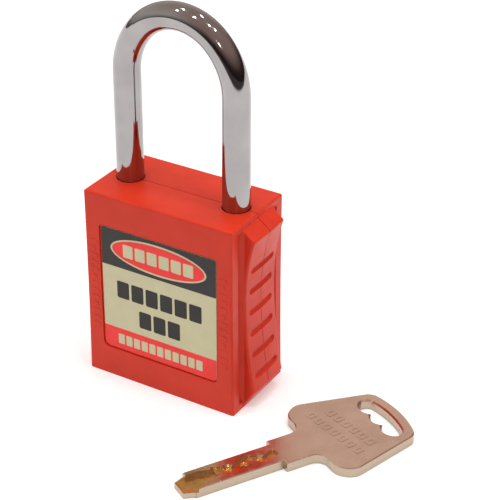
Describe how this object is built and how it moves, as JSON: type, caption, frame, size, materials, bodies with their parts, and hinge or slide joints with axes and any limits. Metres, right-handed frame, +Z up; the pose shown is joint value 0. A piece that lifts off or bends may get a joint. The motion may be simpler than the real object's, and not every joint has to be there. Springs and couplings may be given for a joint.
{
  "type": "safety padlock",
  "caption": "Safety padlock with a two-shell plastic body, a chromed steel shackle, a turning keyed cylinder with sliding latches inside, and its flat dimple key lying beside it.",
  "frame": {"origin": "centre of the padlock's flat base", "axes": "+Z up through the shackle, +X to the right of somebody who faces the front label, the label faces -Y"},
  "size_m": [0.0776, 0.0498, 0.0874],
  "materials": {
    "shell": "glossy moulded thermoplastic",
    "label": "printed plastic label under a clear film",
    "chrome_steel": "polished chrome plate on steel",
    "spring_steel": "bare machined steel",
    "zinc": "as-cast zinc alloy",
    "brass": "machined brass",
    "nickel": "nickel-plated brass, tumbled, with bare brass where it is milled"
  },
  "bodies": {
    "padlock": {"front_shell": "shell", "rear_shell": "shell", "front_label": "label", "rear_label": "label", "shell_dowels": "spring_steel", "shackle_spring": "spring_steel", "lock_block": "zinc", "latch_cover": "zinc", "cover_screws": "spring_steel", "cam_sleeve": "brass", "cylinder_housing": "brass", "driver_pins": "brass", "pin_springs": "spring_steel", "pin_cover": "brass"},
    "shackle": {"shackle": "chrome_steel", "retaining_pin": "spring_steel"},
    "plug": {"cylinder_plug": "brass", "plug_clip": "spring_steel", "key_pins": "brass", "tail_cam": "spring_steel"},
    "latch_left": {"latch_left": "spring_steel"},
    "latch_right": {"latch_right": "spring_steel"},
    "key": {"key": "nickel"}
  },
  "joints": [
    {"name": "plug_turn", "type": "hinge", "parent": "padlock", "child": "plug", "pos_m": [0, -0.0008, 0], "axis": [0, 0, 1], "range_deg": [0, 90]},
    {"name": "shackle_lift", "type": "slide", "parent": "padlock", "child": "shackle", "axis": [0, 0, 1], "range_m": [0, 0.011], "deforming": ["shackle_spring"]},
    {"name": "latch_left_slide", "type": "slide", "parent": "padlock", "child": "latch_left", "axis": [1, 0, 0], "range_m": [0, 0.0033]},
    {"name": "latch_right_slide", "type": "slide", "parent": "padlock", "child": "latch_right", "axis": [-1, 0, 0], "range_m": [0, 0.0033]},
    {"name": "key_lift", "type": "slide", "parent": "padlock", "child": "key", "axis": [0, 0, 1], "range_m": [0, 0.06]}
  ],
  "couplings": [
    {"joint": "plug_turn", "follows": "shackle_lift", "rad_per_m": 142.8},
    {"joint": "latch_left_slide", "follows": "shackle_lift", "ratio": 0.3},
    {"joint": "latch_right_slide", "follows": "shackle_lift", "ratio": 0.3}
  ]
}
